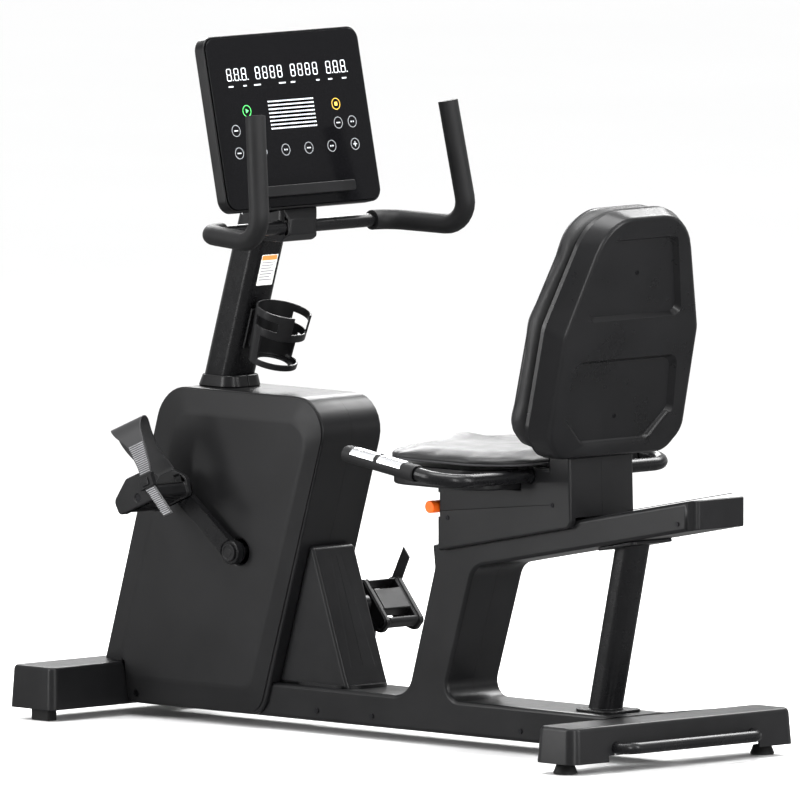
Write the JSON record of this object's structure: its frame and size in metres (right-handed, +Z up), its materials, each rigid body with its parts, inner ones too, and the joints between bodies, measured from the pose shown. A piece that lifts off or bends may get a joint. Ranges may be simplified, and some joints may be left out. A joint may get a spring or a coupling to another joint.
{
  "type": "recumbent exercise bike",
  "caption": "Recumbent exercise bike with an enclosed belt drive, leaning console mast and a padded seat that slides on a sloped rail.",
  "frame": {"origin": "on the floor under the middle of the machine", "axes": "+Z up, +X from the console end to the seat end, +Y to the rider's right"},
  "size_m": [1.64, 0.634, 1.3178],
  "materials": {
    "cover_plastic": "fine textured black moulding",
    "panel_plastic": "fine textured charcoal moulding",
    "black_paint": "satin black powder coat",
    "bare_steel": "turned steel",
    "pulley_nylon": "moulded nylon",
    "black_rubber": "moulded black rubber",
    "grip_foam": "closed-cell foam grip",
    "pedal_plastic": "moulded black resin",
    "strap_rubber": "ribbed soft strap",
    "pad_vinyl": "black upholstery vinyl",
    "console_gloss": "tinted glossy front",
    "circuit_board": "printed circuit board",
    "lever_orange": "orange moulding"
  },
  "bodies": {
    "frame": {"main_frame": "black_paint", "seat_rail": "black_paint", "rear_post": "black_paint", "frame_cover_left": "cover_plastic", "frame_cover_right": "cover_plastic", "brace_cover": "cover_plastic", "rail_end_cap": "cover_plastic", "rail_bumper": "black_rubber", "front_stabilizer_cover": "cover_plastic", "rear_stabilizer_cover": "cover_plastic", "lift_handle": "black_paint", "front_feet": "black_rubber", "wheel_axles": "bare_steel", "shroud_left": "cover_plastic", "shroud_right": "cover_plastic", "side_panel_left": "panel_plastic", "side_panel_right": "panel_plastic", "mast": "black_paint", "mast_collar": "cover_plastic", "cup_holder": "cover_plastic", "handlebar": "black_paint", "handlebar_grips": "grip_foam", "clamp_cover": "cover_plastic", "console_shell": "cover_plastic", "console_board": "circuit_board", "console_glass": "console_gloss", "console_ledge": "cover_plastic", "cover_screws": "bare_steel", "crank_bearings": "bare_steel", "flywheel_axle": "bare_steel", "belt": "black_rubber", "brake_motor": "cover_plastic"},
    "crank": {"crank_axle": "bare_steel", "drive_pulley": "pulley_nylon", "crank_arm_left": "black_paint", "crank_arm_right": "black_paint", "pedal_spindles": "bare_steel"},
    "left_pedal": {"pedal_left": "pedal_plastic", "strap_left": "strap_rubber"},
    "right_pedal": {"pedal_right": "pedal_plastic", "strap_right": "strap_rubber"},
    "flywheel": {"flywheel": "bare_steel"},
    "idler": {"idler": "pulley_nylon"},
    "brake_arm": {"magnet_bracket": "black_paint"},
    "seat": {"carriage_frame": "black_paint", "carriage_cover_left": "panel_plastic", "carriage_cover_right": "panel_plastic", "seat_pan": "cover_plastic", "seat_cushion": "pad_vinyl", "backrest_shell": "cover_plastic", "backrest_cushion": "pad_vinyl", "seat_handlebar": "black_paint", "seat_grips": "grip_foam"},
    "front_roller": {"front_rollers": "bare_steel"},
    "rear_roller": {"rear_rollers": "bare_steel"},
    "seat_lever": {"release_lever": "lever_orange"},
    "left_wheel": {"transport_wheel_left": "black_rubber"},
    "right_wheel": {"transport_wheel_right": "black_rubber"},
    "left_foot": {"rear_foot_left": "black_rubber"},
    "right_foot": {"rear_foot_right": "black_rubber"}
  },
  "joints": [
    {"name": "crank_spin", "type": "hinge", "parent": "frame", "child": "crank", "pos_m": [-0.377, 0, 0.334], "axis": [0, -1, 0], "continuous": true},
    {"name": "left_pedal_spin", "type": "hinge", "parent": "crank", "child": "left_pedal", "pos_m": [-0.51312, -0.17, 0.43583], "axis": [0, -1, 0], "continuous": true},
    {"name": "right_pedal_spin", "type": "hinge", "parent": "crank", "child": "right_pedal", "pos_m": [-0.24088, 0.17, 0.23217], "axis": [0, -1, 0], "continuous": true},
    {"name": "flywheel_spin", "type": "hinge", "parent": "frame", "child": "flywheel", "pos_m": [-0.545, 0, 0.246], "axis": [0, -1, 0], "continuous": true},
    {"name": "idler_spin", "type": "hinge", "parent": "frame", "child": "idler", "pos_m": [-0.47, 0, 0.2004], "axis": [0, -1, 0], "continuous": true},
    {"name": "brake_arm_tilt", "type": "hinge", "parent": "frame", "child": "brake_arm", "pos_m": [-0.482, 0, 0.39], "axis": [0, 1, 0], "range_deg": [0, 6]},
    {"name": "seat_slide", "type": "slide", "parent": "frame", "child": "seat", "axis": [0.9829, 0, 0.184], "range_m": [0, 0.28]},
    {"name": "front_roller_spin", "type": "hinge", "parent": "seat", "child": "front_roller", "pos_m": [0.20815, 0, 0.3711], "axis": [0, 1, 0], "continuous": true},
    {"name": "rear_roller_spin", "type": "hinge", "parent": "seat", "child": "rear_roller", "pos_m": [0.45389, 0, 0.41708], "axis": [0, 1, 0], "continuous": true},
    {"name": "lever_pull", "type": "hinge", "parent": "seat", "child": "seat_lever", "pos_m": [0.172, 0, 0.45], "axis": [0, 1, 0], "range_deg": [0, 18], "stiffness_Nm_per_rad": 2, "springref_deg": -8.59},
    {"name": "left_wheel_spin", "type": "hinge", "parent": "frame", "child": "left_wheel", "pos_m": [-0.793, -0.2, 0.046], "axis": [0, 1, 0], "continuous": true},
    {"name": "right_wheel_spin", "type": "hinge", "parent": "frame", "child": "right_wheel", "pos_m": [-0.793, 0.2, 0.046], "axis": [0, 1, 0], "continuous": true},
    {"name": "left_foot_level", "type": "slide", "parent": "frame", "child": "left_foot", "axis": [0, 0, 1], "range_m": [-0.012, 0]},
    {"name": "right_foot_level", "type": "slide", "parent": "frame", "child": "right_foot", "axis": [0, 0, 1], "range_m": [-0.012, 0]}
  ],
  "couplings": [
    {"joint": "flywheel_spin", "follows": "crank_spin", "ratio": 4.8},
    {"joint": "idler_spin", "follows": "crank_spin", "ratio": -8.7857},
    {"joint": "front_roller_spin", "follows": "seat_slide", "rad_per_m": 50},
    {"joint": "rear_roller_spin", "follows": "seat_slide", "rad_per_m": 50}
  ]
}
